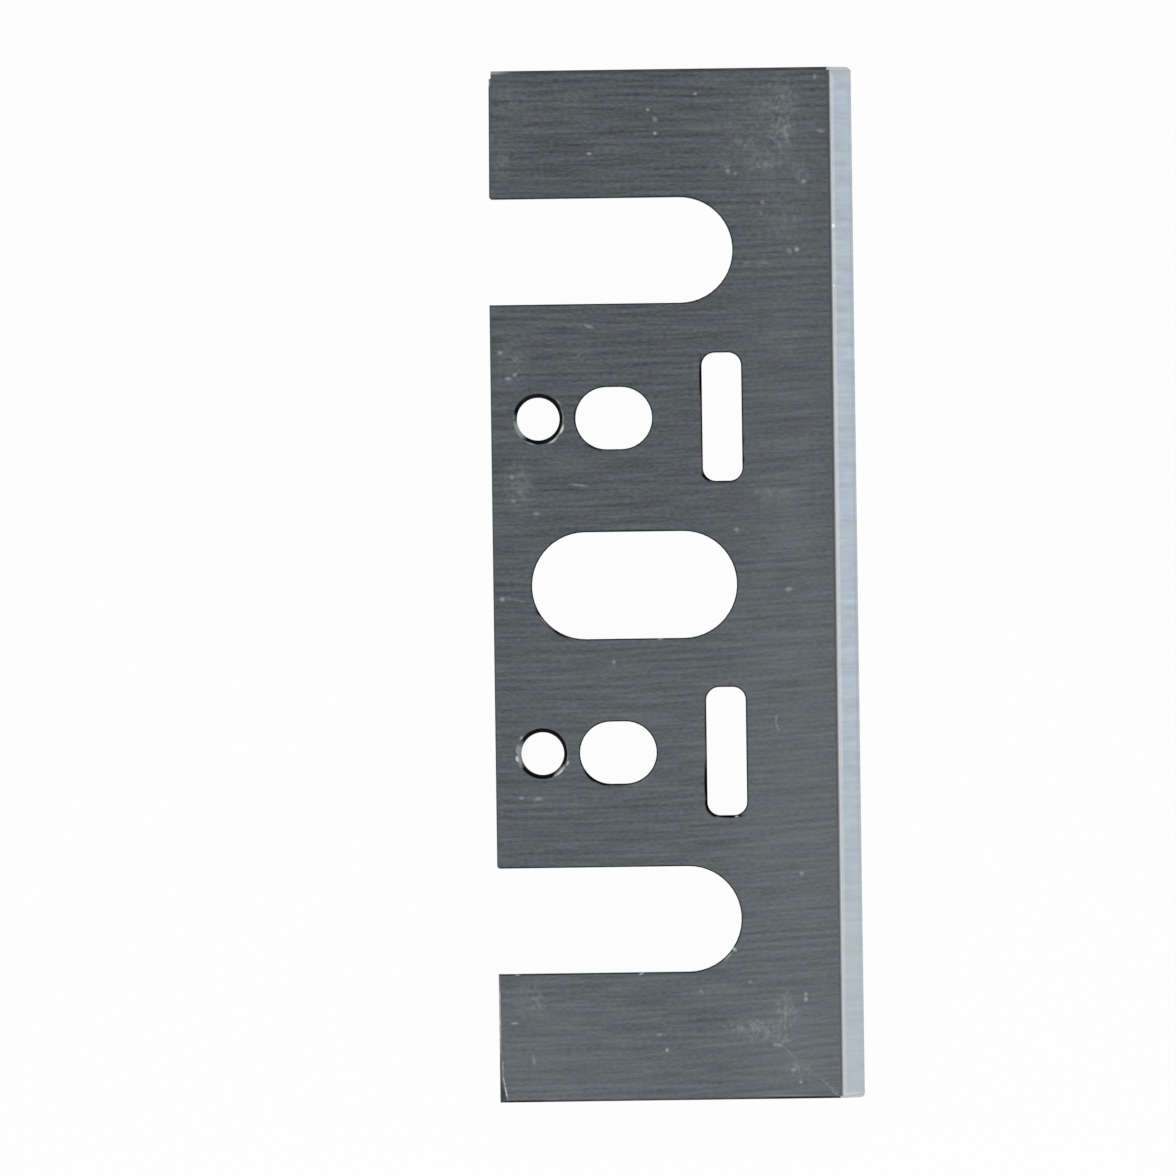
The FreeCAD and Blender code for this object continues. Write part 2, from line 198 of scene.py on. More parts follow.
@dataclass(frozen=True)
class WearAndPaintedLight:
    """Marks of one colour that lie on a finish.

    Attributes:
        colour: what shows in them: a colour of wear and dirt, of a painted highlight, or of painted
            shade
        marks: the marks
        broken: how far noise breaks them up, from 0, not at all, to 1
        fleck: the size of one cell of that noise
        round_screws: if the marks are placed by angle and radius round the screw holes
        curl: the size of the curls that the marks are made of, or 0 where they are whole
    """

    colour: str
    marks: tuple[Mark, ...]
    broken: float = 0.0
    fleck: float = 0.3
    round_screws: bool = False
    curl: float = 0.0

    def lay_on(
        self,
        tree: bpy.types.NodeTree,
        place: bpy.types.NodeSocket,
        colour: bpy.types.NodeSocket,
    ) -> bpy.types.NodeSocket:
        """Lays the marks over a finish's colour.

        Args:
            tree: the material's tree
            place: a place on the surface, in millimetres
            colour: the finish's colour there
        Returns:
            the colour with the marks on it
        """
        here = unrolled(tree, place) if self.round_screws else place
        total: float | bpy.types.NodeSocket = 0.0
        for mark in self.marks:
            total = mark.add_to(tree, here, total)
        if self.broken:
            cells = Grain((self.fleck,) * 3, detail=2.0).draw(tree, place)
            low, high = FLECK_RANGE
            kept = {"Value": cells, "From Min": low, "From Max": high, "To Min": 1 - self.broken}
            kept = add_node(tree, "MapRange", kept).outputs[0]
            total = add_node(tree, "Math", {0: total, 1: kept}, operation="MULTIPLY").outputs[0]
        if self.curl:
            line = self.draw_curls(tree, place)
            total = add_node(tree, "Math", {0: total, 1: line}, operation="MULTIPLY").outputs[0]
        share = add_node(tree, "Math", {0: total, 1: 1.0}, operation="MINIMUM").outputs[0]
        mixed = {"Factor": share, 6: colour, 7: srgb(self.colour)}
        return add_node(tree, "Mix", mixed, data_type="RGBA").outputs[2]

    def draw_curls(
        self, tree: bpy.types.NodeTree, place: bpy.types.NodeSocket
    ) -> bpy.types.NodeSocket:
        """Draws fine curled lines, longer along the knife, where a noise passes its mean.

        Args:
            tree: the material's tree
            place: a place on the surface, in millimetres
        Returns:
            a socket that is 1 in the middle of a line and 0 off the lines
        """
        cells = Grain(tuple(share * self.curl for share in CURL_CELL)).draw(tree, place)
        off = add_node(tree, "Math", {0: cells, 1: NOISE_MEAN}, operation="SUBTRACT").outputs[0]
        off = add_node(tree, "Math", {0: off}, operation="ABSOLUTE").outputs[0]
        line = {"Value": off, "From Min": 0.0, "From Max": CURL_WIDTH, "To Min": 1.0, "To Max": 0.0}
        return add_node(tree, "MapRange", line).outputs[0]


# Where the two screw holes lie, and how far the marks round the near one are moved on, in
# degrees, so that one unrolled picture holds both holes side by side.
SCREW_X = -10.75
SCREW_Y = 13.3
NEAR_HOLE_TURN = 400.0


def unrolled(tree: bpy.types.NodeTree, place: bpy.types.NodeSocket) -> bpy.types.NodeSocket:
    """Unrolls the surface round the screw holes.

    Args:
        tree: the material's tree
        place: a place on the surface, in millimetres
    Returns:
        the angle round the hole in degrees, from -180 to 180, as X, and the distance from its
        centre in millimetres as Y. The angle at the near hole is mirrored, then moved on.
    """
    parts = add_node(tree, "SeparateXYZ", {0: place}).outputs
    away = add_node(tree, "Math", {0: parts["Y"]}, operation="ABSOLUTE").outputs[0]
    along = add_node(tree, "Math", {0: away, 1: SCREW_Y}, operation="SUBTRACT").outputs[0]
    across = add_node(tree, "Math", {0: parts["X"], 1: SCREW_X}, operation="SUBTRACT").outputs[0]
    angle = add_node(tree, "Math", {0: along, 1: across}, operation="ARCTAN2").outputs[0]
    is_near = add_node(tree, "Math", {0: parts["Y"], 1: 0.0}, operation="LESS_THAN").outputs[0]
    moved = add_node(tree, "Math", {0: is_near, 1: NEAR_HOLE_TURN}, operation="MULTIPLY")
    turned = {0: angle, 1: math.degrees(1.0), 2: moved.outputs[0]}
    degrees = add_node(tree, "Math", turned, operation="MULTIPLY_ADD").outputs[0]
    arm = add_node(tree, "CombineXYZ", {"X": across, "Y": along}).outputs[0]
    radius = add_node(tree, "VectorMath", {0: arm}, operation="LENGTH").outputs["Value"]
    return add_node(tree, "CombineXYZ", {"X": degrees, "Y": radius}).outputs[0]


@dataclass(frozen=True)
class Steel:
    """High-speed steel with a ground or cut finish.

    Attributes:
        name: what the finish is
        cool: one end of its slow change of colour
        warm: the other end
        roughness: how far it spreads a reflection
        contrast: how much lighter its lightest lines are than its mean
        grains: the layers of its fine structure
        depth: the depth of the first layer in millimetres, which tilts the light
        blotch: the size of one cell of the slow change of colour
        wears_and_painted_light: what use and handling left on it, and the highlights and shade
            painted on it
    """

    name: str
    cool: str
    warm: str
    roughness: float
    contrast: float
    grains: tuple[Grain, ...]
    depth: float = 0.0
    blotch: tuple[float, float, float] = (3.0, 1.2, 3.0)
    wears_and_painted_light: tuple[WearAndPaintedLight, ...] = ()

    def make(self) -> bpy.types.Material:
        """Makes the material.

        Returns:
            the material, named after the finish
        """
        material = bpy.data.materials.new(self.name)
        material.use_nodes = True
        tree = material.node_tree
        tree.nodes.clear()
        here = add_node(tree, "TexCoord").outputs["Object"]
        scaled = {"Vector": here, "Scale": (1 / MM,) * 3}
        place = add_node(tree, "Mapping", scaled).outputs[0]
        path = self.follow_tool(tree, place)
        layers = [grain.draw(tree, path) for grain in self.grains]
        spread = self.spread(tree, place)
        low, high = LINE_RANGE
        ramp = {"Value": self.sum_up(tree, layers), "From Min": low, "From Max": high}
        ramp["To Min"] = add_node(tree, "Math", {0: 1.0, 1: spread}, operation="SUBTRACT").outputs[0]
        ramp["To Max"] = add_node(tree, "Math", {0: 1.0, 1: spread}, operation="ADD").outputs[0]
        light = add_node(tree, "MapRange", ramp).outputs[0]
        slow = Grain(self.blotch, detail=2.0).draw(tree, place)
        low, high = BLOTCH_RANGE
        share = add_node(tree, "MapRange", {"Value": slow, "From Min": low, "From Max": high})
        tints = {"Factor": share.outputs[0], 6: srgb(self.cool), 7: srgb(self.warm)}
        tint = add_node(tree, "Mix", tints, data_type="RGBA").outputs[2]
        lined = {"Factor": 1.0, 6: tint, 7: light}
        colour = add_node(tree, "Mix", lined, data_type="RGBA", blend_type="MULTIPLY").outputs[2]
        for wear_and_light in self.wears_and_painted_light:
            colour = wear_and_light.lay_on(tree, place, colour)
        shader = {"Base Color": colour, "Metallic": 1.0, "Roughness": self.roughness}
        if self.depth:
            bump = {"Height": layers[0], "Distance": self.depth * MM, "Strength": 1.0}
            shader["Normal"] = add_node(tree, "Bump", bump).outputs[0]
        surface = add_node(tree, "BsdfPrincipled", shader)
        add_node(tree, "OutputMaterial", {"Surface": surface.outputs[0]})
        return material

    def sum_up(
        self, tree: bpy.types.NodeTree, layers: list[bpy.types.NodeSocket]
    ) -> bpy.types.NodeSocket:
        """Adds the layers by weight, so that their mean stays near a half.

        Args:
            tree: the material's tree
            layers: what each of the grains drew
        Returns:
            a socket from 0 to 1
        """
        total: float | bpy.types.NodeSocket = 0.0
        whole = sum(grain.weight for grain in self.grains)
        for grain, layer in zip(self.grains, layers):
            terms = {0: layer, 1: grain.weight / whole, 2: total}
            total = add_node(tree, "Math", terms, operation="MULTIPLY_ADD").outputs[0]
        return total

    def follow_tool(
        self, tree: bpy.types.NodeTree, place: bpy.types.NodeSocket
    ) -> bpy.types.NodeSocket:
        """The place as the tool's path sees it; a plain finish was made straight across."""
        return place

    def spread(
        self, tree: bpy.types.NodeTree, place: bpy.types.NodeSocket
    ) -> float | bpy.types.NodeSocket:
        """How strong the lines are; on a plain finish they are so everywhere."""
        return self.contrast


@dataclass(frozen=True)
class GroundFace(Steel):
    """The face that shows: lines of a cup wheel, which curve a little and fade to the near end.

    Attributes:
        wheel_radius: the radius of the wheel's path
        straight_x: where its lines run straight across
        arc_from: how far along the knife the curve starts
        arc_full: where it is full
        half_length: from the middle to either end
        near_contrast: the lines' contrast at the near end
    """

    wheel_radius: float = 370.0
    straight_x: float = -14.0
    arc_from: float = 34.0
    arc_full: float = 6.0
    half_length: float = 41.0
    near_contrast: float = 0.32

    def follow_tool(
        self, tree: bpy.types.NodeTree, place: bpy.types.NodeSocket
    ) -> bpy.types.NodeSocket:
        """Takes the curve of the wheel's path out of a place.

        Args:
            tree: the material's tree
            place: a place on the surface, in millimetres
        Returns:
            the place where a straight line would have run
        """
        parts = add_node(tree, "SeparateXYZ", {0: place}).outputs
        reach = add_node(tree, "Math", {0: parts["X"], 1: self.straight_x}, operation="SUBTRACT")
        square = add_node(tree, "Math", {0: reach.outputs[0], 1: 2.0}, operation="POWER")
        fade = {
            "Value": parts["Y"],
            "From Min": self.arc_from,
            "From Max": self.arc_full,
            "To Min": 0.0,
            "To Max": 1 / (2 * self.wheel_radius),
        }
        fade = add_node(tree, "MapRange", fade, interpolation_type="SMOOTHSTEP").outputs[0]
        rise = add_node(tree, "Math", {0: square.outputs[0], 1: fade}, operation="MULTIPLY")
        along = add_node(tree, "Math", {0: parts["Y"], 1: rise.outputs[0]}, operation="SUBTRACT")
        straight = {"X": parts["X"], "Y": along.outputs[0], "Z": parts["Z"]}
        return add_node(tree, "CombineXYZ", straight).outputs[0]

    def spread(
        self, tree: bpy.types.NodeTree, place: bpy.types.NodeSocket
    ) -> float | bpy.types.NodeSocket:
        """Says how strong the lines are, which is less towards the near end.

        Args:
            tree: the material's tree
            place: a place on the surface, in millimetres
        Returns:
            a socket from the near end's contrast to the finish's own
        """
        parts = add_node(tree, "SeparateXYZ", {0: place}).outputs
        fade = {
            "Value": parts["Y"],
            "From Min": -self.half_length,
            "From Max": self.half_length,
            "To Min": self.near_contrast,
            "To Max": self.contrast,
        }
        return add_node(tree, "MapRange", fade).outputs[0]


# What use and handling left on the face: bright specks, fine scratches, and rubbed places where
# flecks and curls lie close together. A mark is its place across and along the knife, its half
# length and half width, its turn and its strength.
SPECKS = (
    Mark(2.1, 39.0, 0.22, 0.18, 0, 0.9),
    Mark(-1.7, 37.8, 0.18, 0.16, 0, 1.2),
    Mark(-1.15, 37.0, 0.3, 0.3, 60, 0.6),
    Mark(-1.15, 35.9, 0.22, 0.2, 0, 1.2),
    Mark(-6.4, 34.35, 0.25, 0.18, 0, 1.0),
    Mark(4.6, 32.8, 0.22, 0.25, 40, 0.8),
    Mark(5.2, 32.6, 0.2, 0.2, 0, 0.5),
    Mark(11.6, 40.2, 0.2, 0.3, 0, 0.6),
    Mark(12.0, 35.9, 0.4, 0.18, -10, 0.6),
    Mark(10.6, 31.9, 0.35, 0.25, 20, 0.8),
    Mark(7.3, 30.3, 0.25, 0.25, 0, 0.6),
    Mark(7.2, 29.4, 0.2, 0.2, 0, 0.4),
    Mark(10.0, 26.5, 0.25, 0.25, 0, 1.2),
    Mark(9.4, 26.4, 0.4, 0.25, -30, 0.5),
    Mark(-13.7, 18.6, 0.3, 0.22, 20, 0.8),
    Mark(-12.55, 16.85, 0.3, 0.22, 40, 0.7),
    Mark(-13.1, 16.55, 0.35, 0.2, 0, 0.8),
    Mark(-6.6, 20.6, 0.5, 0.2, -20, 0.6),
    Mark(-12.9, 8.7, 0.3, 0.22, 0, 0.7),
    Mark(-12.8, 6.8, 0.3, 0.2, 0, 0.6),
    Mark(-11.0, 5.8, 0.35, 0.2, 0, 0.6),
    Mark(4.9, 4.3, 0.3, 0.25, -30, 0.6),
    Mark(-13.8, -1.0, 0.25, 0.25, 30, 0.9),
    Mark(9.0, -0.5, 0.4, 0.25, 10, 0.7),
    Mark(-5.0, -6.1, 0.2, 0.22, 0, 0.6),
    Mark(-11.2, -16.9, 0.5, 0.2, 0, 0.6),
    Mark(-12.5, -16.8, 0.35, 0.2, 0, 0.5),
    Mark(9.7, -23.1, 0.25, 0.25, 0, 0.6),
    Mark(5.5, -31.7, 0.25, 0.22, 0, 0.35),
    Mark(9.9, -32.7, 0.2, 0.25, 0, 0.6),
    Mark(9.9, -33.1, 0.2, 0.25, 0, 0.9),
    Mark(1.6, -32.4, 0.4, 0.16, -50, 0.35),
    Mark(-1.8, -35.8, 0.3, 0.2, 0, 0.4),
    Mark(-1.2, -37.0, 0.18, 0.2, 0, 1.0),
    Mark(-13.3, -34.7, 0.4, 0.14, 0, 0.8),
    Mark(9.4, -39.7, 0.2, 0.2, 0, 0.6),
    Mark(8.8, -38.7, 0.25, 0.2, 0, 0.6),
)
SCRATCHES = (
    Mark(8.7, 36.7, 0.7, 0.14, 75, 1.4),
    Mark(9.3, 35.6, 0.8, 0.14, 20, 1.1),
    Mark(9.4, 35.1, 0.5, 0.12, 100, 0.9),
    Mark(6.6, 35.0, 0.5, 0.12, 100, 0.9),
    Mark(4.6, 33.2, 0.6, 0.12, 15, 1.0),
    Mark(6.0, 25.5, 0.4, 0.16, 20, 1.2),
    Mark(7.2, 25.5, 0.9, 0.16, 0, 1.0),
    Mark(-7.6, 8.0, 1.0, 0.16, -8, 1.4),
    Mark(-13.0, -1.0, 1.3, 0.14, -12, 0.8),
    Mark(7.85, -10.8, 0.5, 0.12, 82, 1.5),
    Mark(7.95, -11.5, 0.5, 0.12, 110, 1.4),
    Mark(8.25, -34.3, 1.3, 0.14, 88, 1.1),
    Mark(-11.8, -37.6, 0.6, 0.2, 100, 1.1),
    Mark(-11.4, -33.2, 0.7, 0.2, 110, 0.9),
    Mark(7.6, -36.7, 0.5, 0.22, -12, 2.2),
    Mark(8.3, -36.4, 0.5, 0.2, 15, 1.4),
    Mark(6.1, -35.4, 0.9, 0.16, 15, 1.0),
    Mark(5.8, -35.1, 0.8, 0.14, -50, 0.9),
    Mark(8.6, -37.4, 1.0, 0.12, -45, 0.9),
    Mark(11.2, -39.6, 1.9, 0.1, -42, 0.7),
    Mark(11.9, -40.2, 1.0, 0.1, -35, 0.6),
)
RUBS = (
    Mark(8.9, 38.4, 1.8, 2.6, 0, 0.6),
    Mark(9.0, 36.0, 1.1, 1.9, 0, 0.8),
    Mark(7.6, 33.5, 2.0, 0.9, 8, 0.75),
    Mark(5.6, 35.1, 1.4, 1.0, 0, 0.5),
    Mark(4.2, 33.3, 1.3, 0.6, 8, 0.5),
    Mark(10.5, 32.6, 1.0, 1.2, 0, 0.4),
    Mark(7.2, 36.0, 6.5, 7.0, 0, 0.3),
    Mark(9.0, 29.5, 3.0, 2.5, 0, 0.4),
    Mark(-12.2, 38.5, 3.2, 1.8, 0, 0.35),
    Mark(-13.4, 33.5, 0.9, 2.0, 0, 0.6),
    Mark(-8.0, 38.8, 2.0, 1.2, 0, 0.3),
    Mark(-12.6, 18.0, 1.4, 3.0, 0, 0.5),
    Mark(-12.3, 8.0, 1.4, 3.0, 0, 0.6),
    Mark(-7.3, 18.3, 1.2, 0.6, 0, 0.6),
    Mark(8.0, 7.0, 2.5, 1.0, 0, 0.4),
    Mark(6.0, -35.5, 3.6, 1.2, -8, 0.75),
    Mark(8.3, -34.0, 1.3, 2.4, 0, 0.6),
    Mark(9.3, -38.6, 1.5, 1.0, 0, 0.7),
    Mark(-12.0, -33.0, 1.6, 1.6, 0, 0.6),
)
# Painted light: the face is a shade lighter in broad patches, most over the half by the cutting edge
# and at the near end.
PAINTED_LIGHT_PATCHES = (
    Mark(9.5, 4.0, 9.0, 34.0, 0, 0.13),
    Mark(8.6, 36.5, 6.0, 6.0, 0, 0.09),
    Mark(9.5, -20.0, 10.0, 26.0, 0, 0.12),
    Mark(9.5, 28.0, 9.0, 12.0, 0, 0.06),
    Mark(-3.0, -8.0, 10.0, 12.0, 0, 0.07),
    Mark(-12.0, -37.0, 9.0, 9.0, 0, 0.08),
    Mark(9.5, -37.0, 7.0, 6.0, 0, 0.1),
)
# Painted shade: darker lines along the rims that face the cutting edge, most in the lower corners.
RIM_PAINTED_SHADE = (
    Mark(2.23, 16.3, 2.2, 0.2, 90, 2.0),
    Mark(2.23, 12.4, 3.2, 0.13, 90, 0.8),
    Mark(2.5, 8.5, 0.6, 0.2, -45, 2.5),
    Mark(3.9, 8.14, 1.3, 0.14, 0, 0.9),
    Mark(5.5, 11.4, 0.5, 0.18, 90, 1.1),
    Mark(5.5, 9.9, 0.4, 0.18, 90, 1.1),
    Mark(2.23, -15.9, 2.4, 0.22, 90, 2.5),
    Mark(2.23, -11.5, 3.2, 0.14, 90, 0.8),
    Mark(2.3, -17.6, 0.5, 0.22, -75, 2.5),
    Mark(2.6, -18.15, 0.6, 0.24, -45, 3.0),
    Mark(4.1, -18.46, 1.4, 0.2, 0, 2.5),
    Mark(-7.1, -15.1, 0.8, 0.21, -48, 1.9),
    Mark(-6.2, -15.65, 0.9, 0.21, -22, 2.0),
    Mark(-4.9, -15.83, 1.0, 0.18, 0, 1.2),
    Mark(-6.4, 10.98, 0.9, 0.18, -25, 1.2),
    Mark(-7.84, 13.5, 1.0, 0.15, 90, 0.9),
    Mark(-10.7, -2.5, 1.2, 0.2, -55, 1.6),
    Mark(-9.3, -3.75, 1.0, 0.2, -30, 1.6),
    Mark(-3.5, 4.3, 5.0, 0.15, 0, 0.9),
)
# Painted highlights where a few nicks and lifted burrs on the rims catch the light.
RIM_GLINTS = (
    Mark(4.25, -29.05, 0.3, 0.18, -35, 1.6),
    Mark(3.8, -29.6, 0.6, 0.1, 45, 0.8),
    Mark(-3.13, -30.88, 0.3, 0.12, 20, 1.6),
    Mark(-13.0, -30.86, 0.25, 0.12, 0, 1.2),
    Mark(-1.28, -4.31, 0.3, 0.1, 0, 1.2),
    Mark(-10.6, -2.72, 0.8, 0.06, -50, 1.0),
    Mark(4.6, -18.5, 0.2, 0.12, 0, 1.4),
)
# Painted highlights round the screw holes: the countersink's dark ring is pale at the lower left,
# and its outer edge is bright at the lower right. X is the angle and Y the radius.
RING_HIGHLIGHTS = (
    Mark(-152, 1.85, 32, 0.5, 0, 3.0),
    Mark(NEAR_HOLE_TURN + 180, 1.85, 38, 0.5, 0, 2.4),
    Mark(NEAR_HOLE_TURN - 180, 1.85, 36, 0.5, 0, 2.4),
    Mark(NEAR_HOLE_TURN + 45, 1.95, 22, 0.25, 0, 1.2),
    Mark(176, 1.95, 14, 0.2, 0, 1.0),
    Mark(-5, 2.04, 50, 0.14, 0, 1.6),
    Mark(NEAR_HOLE_TURN + 5, 2.04, 60, 0.11, 0, 1.4),
)
RING_GLINTS = (
    Mark(-24, 2.07, 13, 0.13, 0, 2.4),
    Mark(-56, 2.11, 17, 0.11, 0, 1.3),
    Mark(-40, 2.04, 30, 0.08, 0, 0.9),
    Mark(-111, 2.03, 17, 0.1, 0, 0.8),
    Mark(-150, 1.78, 24, 0.08, 0, 1.4),
    Mark(38, 2.12, 12, 0.1, 0, 0.5),
    Mark(NEAR_HOLE_TURN + 48, 2.0, 21, 0.13, 0, 2.0),
    Mark(NEAR_HOLE_TURN + 22, 2.12, 8, 0.12, 0, 1.2),
    Mark(NEAR_HOLE_TURN + 169, 2.06, 8, 0.18, 0, 2.2),
    Mark(NEAR_HOLE_TURN + 155, 1.98, 12, 0.15, 0, 0.9),
    Mark(NEAR_HOLE_TURN - 143, 2.1, 7, 0.16, 0, 0.7),
    Mark(NEAR_HOLE_TURN - 170, 2.1, 14, 0.14, 0, 0.6),
)
# Painted highlights: a bright edge on the worn slant at the near end, on the rear edge beside it and
# on the bruised corner at the far end.
REAR_GLINTS = (
    Mark(-14.27, -38.3, 0.9, 0.07, 90, 1.2),
    Mark(-14.2, -39.3, 0.6, 0.08, 102, 1.4),
    Mark(-14.05, -40.1, 0.9, 0.08, 101, 1.8),
    Mark(-14.45, -34.2, 4.2, 0.13, 90, 1.1),
    Mark(-14.4, 39.9, 0.5, 0.16, 80, 1.6),
)
# The near end's edge is stained dark at both of its ends, with a painted highlight, a light line,
# beside the one at the cutting edge.
NEAR_STAINS = (Mark(-12.5, -41.0, 3.5, 0.7, 0, 1.6), Mark(9.3, -41.0, 3.6, 0.7, 0, 2.6))
NEAR_GLINT = (Mark(8.6, -40.73, 3.0, 0.09, 0, 0.9), Mark(12.1, -40.6, 0.7, 0.1, -35, 1.0))
# Painted highlights: two small white spots where nicks at the foot of the rounded ridge catch the
# light.
NICK_HIGHLIGHTS = (Mark(12.92, 28.35, 0.2, 0.16, 90, 1.8), Mark(12.9, 23.6, 0.14, 0.12, 90, 1.0))
# Painted highlight: a bright line along the ridge's foot, and a paler line on the bevel's top beside
# it.
RIDGE_HIGHLIGHT = Mark(12.95, 0.0, 400.0, 0.3, 89.955, 1.7)
BEVEL_TOP_HIGHLIGHT = Mark(13.0, 0.0, 200.0, 0.14, 90, 0.85)
# The bevel is darker in a strip at the cutting edge, greyer at its far end and over its near
# half, and paler at its near end.
BEVEL_STRIP = Mark(14.3, 0.0, 60.0, 0.13, 90, 0.5)
BEVEL_FAR_END = Mark(13.4, 40.7, 1.6, 0.5, 0, 1.6)
BEVEL_NEAR_HALF = Mark(13.6, -38.0, 30.0, 3.0, 90, 0.55)
BEVEL_NEAR_END = Mark(13.7, -40.8, 1.6, 0.35, 0, 1.6)
# The bruised rear corner at the far end shows bare steel.
REAR_BRUISE = Mark(-13.9, 40.9, 1.5, 1.0, 0, 1.4)
# Lines of the surface grinder's grit run across the knife. They are a third of a millimetre
# wide and several long, with grain between them as fine as the picture can show.
GRINDING = (
    Grain((6.0, 0.32, 1.0), detail=0.0),
    Grain((26.0, 0.5, 1.0), weight=0.3, detail=0.0),
    Grain((2.0, 0.22, 1.0), weight=0.45, detail=0.0),
    Grain((0.4, 0.18, 1.0), weight=0.8, detail=0.0),
)
FINISHES: dict[Surface, Steel] = {
    # Grey, even and matt, with fine lines across: the wheel's grit cut it in one pass.
    Surface.FACE: GroundFace(
        "surface_ground_steel",
        "#70747d",
        "#707978",
        roughness=0.36,
        contrast=0.5,
        grains=GRINDING,
        depth=0.001,
        # On the face lie painted lighter patches, painted shade and painted highlights along the
        # rims, real rubs, specks and scratches, and painted highlights round the screw holes and
        # along the rear and near edges.
        wears_and_painted_light=(
            WearAndPaintedLight("#a3abac", PAINTED_LIGHT_PATCHES),
            WearAndPaintedLight("#0c0d0f", RIM_PAINTED_SHADE, broken=0.2, fleck=0.4),
            WearAndPaintedLight("#c4c8ca", RIM_GLINTS),
            WearAndPaintedLight("#949c9e", RUBS, broken=0.95, fleck=0.4),
            WearAndPaintedLight("#b4babc", RUBS, broken=0.95, fleck=0.45, curl=0.8),
            WearAndPaintedLight("#c4c8ca", SPECKS),
            WearAndPaintedLight("#a6acae", SCRATCHES, broken=0.75, fleck=0.22),
            WearAndPaintedLight("#ffffff", RING_GLINTS, broken=0.55, fleck=0.2, round_screws=True),
            WearAndPaintedLight("#f2f2f2", REAR_GLINTS, broken=0.8, fleck=0.3),
            WearAndPaintedLight("#9da3a6", NEAR_GLINT),
        ),
    ),
    # The same wheel's lines, without the marks: this side lay down.
    Surface.BACK: Steel(
        "surface_ground_back",
        "#70747d",
        "#707978",
        roughness=0.36,
        contrast=0.5,
        grains=GRINDING,
        depth=0.001,
    ),
    # Smoother than the face, so that it shows the pale table, with faint bands across. Its colour is
    # painted light: much lighter and bluer than the face's steel, for the light the tilted bevel
    # catches.
    Surface.BEVEL: Steel(
        "fine_ground_bevel",
        "#aeb8c9",
        "#b3c0c5",
        roughness=0.25,
        contrast=0.18,
        grains=(Grain((30.0, 0.4, 30.0), detail=3.0), Grain((1.5, 0.5, 3.0), weight=0.6)),
        depth=0.0003,
        blotch=(2.0, 1.6, 4.0),
        wears_and_painted_light=(
            WearAndPaintedLight("#d9d9da", (BEVEL_TOP_HIGHLIGHT,), broken=0.4, fleck=0.4),
            WearAndPaintedLight("#ffffff", NICK_HIGHLIGHTS),
            WearAndPaintedLight("#b0b3b6", (BEVEL_FAR_END,)),
            WearAndPaintedLight("#9ea4a8", (BEVEL_STRIP,)),
            WearAndPaintedLight("#b2bbbf", (BEVEL_NEAR_HALF,)),
            WearAndPaintedLight("#cacaca", (BEVEL_NEAR_END,)),
        ),
    ),
    # Rounded and dull on its slope, with a painted highlight along its foot, so a thin pale line
    # stands out.
    Surface.RIDGE: Steel(
        "rounded_ridge_painted_highlight",
        "#646970",
        "#6f7376",
        roughness=0.5,
        contrast=0.08,
        grains=(Grain((0.6, 0.5, 0.6), detail=2.0),),
        wears_and_painted_light=(WearAndPaintedLight("#e2e2e2", (RIDGE_HIGHLIGHT,)), WearAndPaintedLight("#ffffff", NICK_HIGHLIGHTS)),
    ),
    # Touched on a stone, neutral beside the bevel's blue.
    Surface.BEVEL_END: Steel(
        "honed_bevel_end",
        "#b2b5b9",
        "#b9bbbd",
        roughness=0.3,
        contrast=0.05,
        grains=(Grain((1.0, 0.3, 1.0)),),
    ),
    # Edges broken with a file, painted dark as painted shade along the outer edges, and a little
    # uneven.
    Surface.OUTER_BREAK: Steel(
        "filed_outer_edge",
        "#48484c",
        "#58595c",
        roughness=0.3,
        contrast=0.3,
        grains=(Grain((1.6, 0.3, 1.0)),),
        wears_and_painted_light=(
            WearAndPaintedLight("#9da1a4", (REAR_BRUISE,), broken=0.5, fleck=0.4),
            WearAndPaintedLight("#f2f2f2", REAR_GLINTS, broken=0.6, fleck=0.4),
            WearAndPaintedLight("#2c272b", NEAR_STAINS, broken=0.3, fleck=0.5),
        ),
    ),
    # The rims of the slots, left by the cutter, painted dark as painted shade along the slot edges.
    Surface.RIM: Steel(
        "broken_rim",
        "#2c2f31",
        "#3f4346",
        roughness=0.35,
        contrast=0.3,
        grains=(Grain((0.6, 0.6, 0.6), detail=2.0),),
        wears_and_painted_light=(
            WearAndPaintedLight("#0c0d0f", RIM_PAINTED_SHADE, broken=0.2, fleck=0.4),
            WearAndPaintedLight("#c4c8ca", RIM_GLINTS),
        ),
    ),
    # Painted nearly black as painted shade: the dark ring round each screw hole.
    Surface.COUNTERSINK: Steel(
        "countersink_painted_shade",
        "#1c1d1f",
        "#2a2c2e",
        roughness=0.55,
        contrast=0.3,
        grains=(Grain((0.4, 0.4, 0.4)),),
        wears_and_painted_light=(
            WearAndPaintedLight("#d4d8da", RING_HIGHLIGHTS, broken=0.35, fleck=0.3, round_screws=True),
            WearAndPaintedLight("#ffffff", RING_GLINTS, broken=0.4, fleck=0.25, round_screws=True),
        ),
    ),
    # The cutter's fine steps run down the wall.
    Surface.CUT_WALL: Steel(
        "milled_wall",
        "#84888b",
        "#8c8f91",
        roughness=0.35,
        contrast=0.25,
        grains=(Grain((0.2, 0.2, 3.0), detail=2.0),),
        depth=0.002,
    ),
    # Ground along its length, so its lines run along the edge.
    Surface.OUTER_WALL: Steel(
        "ground_wall",
        "#84888b",
        "#8c8f91",
        roughness=0.35,
        contrast=0.25,
        grains=(Grain((6.0, 6.0, 0.2), detail=2.0),),
        depth=0.002,
    ),
    # Dull and dark, with the dirt of use in it.
    Surface.WEAR: Steel(
        "worn_steel",
        "#3a3d3f",
        "#4c5052",
        roughness=0.45,
        contrast=0.3,
        grains=(Grain((0.5, 0.5, 0.5), detail=2.0),),
        depth=0.004,
    ),
}


